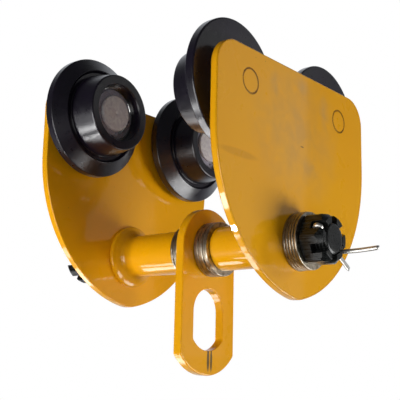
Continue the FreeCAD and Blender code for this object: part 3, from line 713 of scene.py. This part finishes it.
class TrolleySizes(bpy.types.PropertyGroup):
    rim_width: size_setting("Rim width", 7.0, "Width of the wheel flange's rim")
    flange_depth: size_setting("Flange depth", 14.3, "From the wheel's back to the foot of its cone")
    groove_depth: size_setting("Groove depth", 2.2, "Depth of the relief groove between flange and tread")
    shoulder_radius: size_setting("Shoulder radius", 39.0, "Radius of the foot of the flange's cone")
    tread_radius: size_setting("Tread radius", 34.5, "Largest radius of the tread")
    hub_radius: size_setting("Hub radius", 31.4, "Radius of the tread's small end")
    thread_pitch: size_setting("Thread pitch", 3.0, "Pitch of the shaft's thread")
    thread_depth: size_setting("Thread depth", 1.6, "Depth of the shaft's thread")
    wire_radius: size_setting("Wire radius", 1.95, "Radius of the cotter pin's half-round wire")
    eye_radius: size_setting("Eye radius", 2.2, "Inner radius of the cotter pin's eye")
    short_leg: size_setting("Short leg", 37.9, "Reach of the cotter pin's short leg from the shaft")
    cotter_height: size_setting("Cotter height", 13.0, "From the nut's bearing face to the cotter pin")


class TrolleyStage(bpy.types.PropertyGroup):
    lens: bpy.props.FloatProperty(name="Lens", description="Focal length on a 36 mm sensor, in millimetres",
                                  default=76.75, min=1.0)
    azimuth: bpy.props.FloatProperty(name="Azimuth", description="Camera's turn, in degrees", default=-50.56)
    elevation: bpy.props.FloatProperty(name="Elevation", description="Camera's height angle, in degrees",
                                       default=-11.48)
    roll: bpy.props.FloatProperty(name="Roll", description="Camera's roll, in degrees", default=1.30)
    distance: bpy.props.FloatProperty(name="Distance", description="From the camera to its target",
                                      default=0.7031, unit="LENGTH")
    target: bpy.props.FloatVectorProperty(name="Target", description="Point the camera looks at",
                                          size=3, default=(-0.00796, 0.0, -0.03455), unit="LENGTH")
    dim: bpy.props.FloatProperty(name="Dim", description="Brightness of the studio round the trolley",
                                 default=0.06)
    bright: bpy.props.FloatProperty(name="Bright", description="Brightness of the white behind it",
                                    default=0.9)
    floor_drop: bpy.props.FloatProperty(name="Floor drop", description="Floor below the lowest point",
                                        default=0.45, unit="LENGTH")


# ---- operators ----------------------------------------------------------------------------------
def on_face(y, depth, *marks):
    """Centres and reaches of marks on a face at that Y level, from (x, z, half width, half height)."""
    return [((x, y, z), (wide, depth, high)) for x, z, wide, high in marks]


class TROLLEY_OT_side_plates(bpy.types.Operator):
    """Enamel the two side plates and add the painted rivet heads"""
    bl_idname = "trolley.side_plates"
    bl_label = "Side plates"

    def execute(self, context):
        finishes = context.scene.trolley_finishes
        paint = yellow_enamel(finishes)
        near_plate_enamel = yellow_enamel(
            finishes, "handled_yellow_enamel_painted_sheen", dark_edge_width=2.0,
            chips=on_face(-OUTER_Y, 3.0, (-103.4, 29.8, 2.2, 2.0), (6.0, 0.0, 3.5, 0.8)),
            # The widest haze covers the whole outer face: a painted sheen of the white surroundings.
            hazes_and_sheen=on_face(-OUTER_Y, 3.0, (6.0, 50.0, 16.0, 10.0), (39.0, 34.0, 11.0, 20.0),
                          (20.0, -14.0, 18.0, 12.0), (-31.0, 42.0, 12.0, 14.0), (0.0, 10.0, 85.0, 75.0)),
            # The deeper yellow patches on the outer face are painted: a dark reflection band and shade.
            painted_shade=on_face(-OUTER_Y, 3.0, (-76.0, -22.3, 26.0, 3.4), (-26.0, -88.0, 26.0, 22.0)))
        finish_cad("right_side_plate", near_plate_enamel)
        finish_cad("left_side_plate", paint)
        for wheel in WHEELS:
            piece(wheel + "_rivet_head", [skin(at_wheel(rivet_rings(), wheel, "_wheel_axle"))],
                  near_plate_enamel if wheel.endswith("right") else paint, "frame")
        return {"FINISHED"}


class TROLLEY_OT_spacer_tubes(bpy.types.Operator):
    """Build the enamelled spacer tubes with their welded collars"""
    bl_idname = "trolley.spacer_tubes"
    bl_label = "Spacer tubes"

    def execute(self, context):
        # The collars' discs face the shaded inside of the trolley, so they are painted a deeper yellow:
        # painted shade.
        reach = (COLLAR_R + 4, COLLAR_LENGTH + 2, COLLAR_R + 4)
        discs = [((0.0, side * (INNER_Y - COLLAR_LENGTH), SHAFT_Z), reach) for side in (-1, 1)]
        paint = yellow_enamel(context.scene.trolley_finishes, "welded_yellow_enamel_painted_shade", painted_shade=discs + discs)
        right = collar_rings() + (0.0, -INNER_Y, SHAFT_Z)
        for side, rings in (("right", right), ("left", to_left(right))):
            piece(side + "_collared_tube", [skin(rings, "loop")], paint, "frame",
                  [side + "_spacer_tube", side + "_tube_collar"])
        return {"FINISHED"}


class TROLLEY_OT_suspension_plate(bpy.types.Operator):
    """Enamel the suspension plate, with a scuff under its slot"""
    bl_idname = "trolley.suspension_plate"
    bl_label = "Suspension plate"

    def execute(self, context):
        under_slot = (SLOT_LOW + span("suspension_plate", 2)[0]) / 2
        near_face = span("suspension_plate", 1)[0]
        paint = yellow_enamel(context.scene.trolley_finishes, "scuffed_yellow_enamel", cut_edges=0.25,
                              scuffs=on_face(near_face, 5.0, (0.4, under_slot + 2.5, 2.0, 12.0),
                                             (4.2, under_slot + 2.0, 1.7, 11.0)))
        finish_cad("suspension_plate", paint)
        return {"FINISHED"}


class TROLLEY_OT_washers(bpy.types.Operator):
    """Build the zinc-plated washers inside and outside the plates"""
    bl_idname = "trolley.washers"
    bl_label = "Washers"

    def execute(self, context):
        zinc = zinc_plate(context.scene.trolley_finishes)
        for seed, (place, (thick, thin)) in enumerate(WASHERS.items(), 11):
            node = place + "_washers"
            low, high = span(node, 1)
            thin_width = (high - low - thick * THICK_WASHER) / max(thin, 1)
            widths = [THICK_WASHER] * thick + [thin_width] * thin
            if place == "left_outer":
                widths.reverse()         # the spare ones are next to the nut
            piece(place + "_washer_stack", washer_skins(low, widths, seed), zinc, "frame",
                  [node])
        return {"FINISHED"}


class TROLLEY_OT_cross_shaft(bpy.types.Operator):
    """Build the threaded cross shaft and finish the castle nuts"""
    bl_idname = "trolley.cross_shaft"
    bl_label = "Cross shaft and nuts"

    def execute(self, context):
        oxide = black_oxide(context.scene.trolley_finishes)
        piece("threaded_cross_shaft", [skin(shaft_rings(context.scene.trolley_sizes))], oxide, "frame",
              ["cross_shaft"])
        for side in SIDES:
            finish_cad(side + "_castle_nut", oxide)
        return {"FINISHED"}


class TROLLEY_OT_cotter_pins(bpy.types.Operator):
    """Build the bent cotter pins"""
    bl_idname = "trolley.cotter_pins"
    bl_label = "Cotter pins"

    def execute(self, context):
        zinc = bpy.data.materials["zinc_plated_steel"]
        sizes = context.scene.trolley_sizes
        for side in SIDES:
            rings = cotter_rings(sizes, side)
            if side == "left":
                rings = to_left(rings)
            piece(side + "_bent_cotter_pin", [skin(rings)], zinc, "frame",
                  [side + "_cotter_pin"])
        return {"FINISHED"}


class TROLLEY_OT_wheels(bpy.types.Operator):
    """Build the enamelled wheels"""
    bl_idname = "trolley.wheels"
    bl_label = "Wheels"

    def execute(self, context):
        enamel = black_enamel(context.scene.trolley_finishes)
        rings = wheel_rings(context.scene.trolley_sizes)
        for wheel in WHEELS:
            piece(wheel + "_turned_wheel", [skin(at_wheel(rings, wheel), "loop")], enamel, wheel + "_wheel",
                  [wheel + "_wheel"])
        return {"FINISHED"}


class TROLLEY_OT_wheel_axles(bpy.types.Operator):
    """Build the bare wheel axles and finish their circlips"""
    bl_idname = "trolley.wheel_axles"
    bl_label = "Wheel axles"

    def execute(self, context):
        finishes = context.scene.trolley_finishes
        steel, spring = turned_steel(finishes), spring_steel(finishes)
        rings = axle_rings()
        for wheel in WHEELS:
            piece(wheel + "_turned_axle", [skin(at_wheel(rings, wheel))], steel, "frame",
                  [wheel + "_wheel_axle"])
            finish_cad(wheel + "_circlip", spring)
        return {"FINISHED"}


class TROLLEY_OT_bearings(bpy.types.Operator):
    """Finish the ball bearings' rings, balls, cages and shields"""
    bl_idname = "trolley.bearings"
    bl_label = "Bearings"

    def execute(self, context):
        steel = bearing_steel(context.scene.trolley_finishes)
        spring = bpy.data.materials["phosphated_spring_steel"]
        for wheel in WHEELS:
            for part in ("inner_rings", "outer_rings", "balls"):
                finish_cad(wheel + "_bearing_" + part, steel)
            for part in ("cages", "shields"):
                finish_cad(wheel + "_bearing_" + part, spring)
        return {"FINISHED"}


# Points that the lights are aimed at, in metres.
MIDDLE, TUBE_END, LEFT_HUB = (0.0, 0.0, -0.05), (0.0, 0.045, -0.075), (-0.0625, 0.055, 0.03)
NEAR_RIM, NEAR_PLATE = (-0.098, -0.073, 0.0), (0.03, -0.17, 0.0)
# Name, point aimed at, direction from there to the light, distance and size in metres, power in watts.
SOFTBOXES = (
    ("left_key", MIDDLE, (-0.95, 0.10, -0.30), 1.3, (0.7, 0.7), 12.0),
    ("left_fill", MIDDLE, (-0.72, -0.62, -0.30), 1.4, (0.6, 0.6), 4.0),
    ("right_fill", MIDDLE, (0.50, -0.76, -0.42), 1.15, (0.8, 0.6), 14.5),
    ("front_haze", NEAR_PLATE, (0.757, -0.622, 0.20), 0.75, (0.30, 0.6), 0.26),
    ("under_glow", TUBE_END, (0.04, 0.62, -0.78), 0.85, (0.24, 0.36), 2.6),
    ("tube_strip", TUBE_END, (-0.26, 0.62, -0.74), 0.62, (0.07, 0.34), 0.7),
    ("rim_spot", NEAR_RIM, (-0.20, 0.62, -0.76), 0.90, (0.09, 0.18), 0.7),
    ("tread_box", LEFT_HUB, (-0.66, 0.37, -0.65), 0.80, (0.17, 0.15), 1.9),
    ("tread_spot", LEFT_HUB, (-0.36, 0.39, -0.85), 0.80, (0.06, 0.06), 2.2),
)
FLOOR_HALF = 2500.0                # half the floor's side, in millimetres
BACKDROP_R = 9000.0


def softbox(name, aim, towards, distance, size, power):
    """Rectangular area light at a distance from the point it is aimed at, not seen itself."""
    light = bpy.data.lights.new(name, "AREA")
    light.shape = "RECTANGLE"
    light.size, light.size_y = size
    light.energy = power
    lamp = bpy.data.objects.new(name, light)
    direction = Vector(towards).normalized()
    lamp.location = Vector(aim) + direction * distance
    lamp.rotation_euler = (-direction).to_track_quat("-Z", "Y").to_euler()
    lamp.visible_camera = False
    bpy.context.scene.collection.objects.link(lamp)


class TROLLEY_OT_stage(bpy.types.Operator):
    """Set up the camera, the pale floor, the white backdrop and the soft lights"""
    bl_idname = "trolley.stage"
    bl_label = "Stage"

    def execute(self, context):
        stage = context.scene.trolley_stage
        azimuth, elevation = math.radians(stage.azimuth), math.radians(stage.elevation)
        back = Vector((math.sin(azimuth) * math.cos(elevation), -math.cos(azimuth) * math.cos(elevation),
                       math.sin(elevation)))
        camera = bpy.data.objects.new("camera", bpy.data.cameras.new("camera"))
        camera.data.lens = stage.lens
        camera.data.sensor_width = 36.0
        camera.location = Vector(stage.target) + back * stage.distance
        level = (-back).to_track_quat("-Z", "Y").to_matrix()
        camera.rotation_euler = (level @ Matrix.Rotation(math.radians(stage.roll), 3, "Z")).to_euler()
        context.scene.collection.objects.link(camera)
        context.scene.camera = camera

        floor_z = CAD_BOX[0].z - stage.floor_drop
        floor_mesh = bpy.data.meshes.new("floor")
        half = FLOOR_HALF * MM
        floor_mesh.from_pydata([(-half, -half, floor_z), (half, -half, floor_z), (half, half, floor_z),
                                (-half, half, floor_z)], [], [(0, 1, 2, 3)])
        floor_mesh.materials.append(lit_floor())
        floor = bpy.data.objects.new("floor", floor_mesh)
        floor.visible_diffuse = floor.visible_glossy = False
        context.scene.collection.objects.link(floor)

        # A ball round everything, seen by the camera only, so that it lights nothing.
        turn = np.linspace(0, np.pi, 33)[1:-1]
        profile = np.stack([-BACKDROP_R * np.cos(turn), BACKDROP_R * np.sin(turn)], 1)
        vertices, faces, _ = skin(revolve(profile, 48))
        dome_mesh = bpy.data.meshes.new("backdrop")
        dome_mesh.from_pydata((vertices * MM).tolist(), [],
                              [face for block in faces for face in block.tolist()])
        dome_mesh.materials.append(white_backdrop())
        dome = bpy.data.objects.new("backdrop", dome_mesh)
        dome.visible_diffuse = dome.visible_glossy = dome.visible_transmission = dome.visible_shadow = False
        context.scene.collection.objects.link(dome)

        # The world is dim, with a soft white cyclorama behind the trolley.
        world = bpy.data.worlds.new("studio")
        world.use_nodes = True
        tree = world.node_tree
        sky = add(tree, "TexCoord")
        away = Vector(-back).normalized()
        facing = add(tree, "VectorMath", {0: (sky, "Generated"), 1: away}, operation="DOT_PRODUCT")
        glow = add(tree, "MapRange", {0: (facing, 1), 1: 0.35, 2: 0.95, 3: stage.dim, 4: stage.bright},
                   interpolation_type="SMOOTHSTEP")
        background = tree.nodes["Background"]
        background.inputs["Color"].default_value = rgba(linear("F4F8FF"))
        tree.links.new(glow.outputs[0], background.inputs["Strength"])
        context.scene.world = world
        context.scene.view_settings.view_transform = "Standard"

        for box in SOFTBOXES:
            softbox(*box)
        return {"FINISHED"}


class TROLLEY_PT_panel(bpy.types.Panel):
    """Lists the trolley's settings and building steps"""
    bl_idname = "TROLLEY_PT_panel"
    bl_label = "Beam trolley"
    bl_space_type = "VIEW_3D"
    bl_region_type = "UI"
    bl_category = "Trolley"

    def draw(self, context):
        for group in ("trolley_finishes", "trolley_sizes", "trolley_stage"):
            box = self.layout.box()
            settings = getattr(context.scene, group)
            for name in settings.__annotations__:
                box.prop(settings, name)
        for operator in OPERATORS:
            self.layout.operator(operator.bl_idname)


OPERATORS = (TROLLEY_OT_side_plates, TROLLEY_OT_spacer_tubes, TROLLEY_OT_suspension_plate, TROLLEY_OT_washers,
             TROLLEY_OT_cross_shaft, TROLLEY_OT_cotter_pins, TROLLEY_OT_wheels, TROLLEY_OT_wheel_axles,
             TROLLEY_OT_bearings, TROLLEY_OT_stage)
GROUPS = {"trolley_finishes": TrolleyFinishes, "trolley_sizes": TrolleySizes, "trolley_stage": TrolleyStage}


def register():
    for group_name, group in GROUPS.items():
        bpy.utils.register_class(group)
        setattr(bpy.types.Scene, group_name, bpy.props.PointerProperty(type=group))
    for operator in OPERATORS:
        bpy.utils.register_class(operator)
    bpy.utils.register_class(TROLLEY_PT_panel)


def unregister():
    bpy.utils.unregister_class(TROLLEY_PT_panel)
    for operator in reversed(OPERATORS):
        bpy.utils.unregister_class(operator)
    for group_name, group in GROUPS.items():
        delattr(bpy.types.Scene, group_name)
        bpy.utils.unregister_class(group)


def main():
    register()
    for operator in OPERATORS:
        name = operator.bl_idname.split(".")[1]
        getattr(bpy.ops.trolley, name)()


if __name__ == "__main__":
    main()
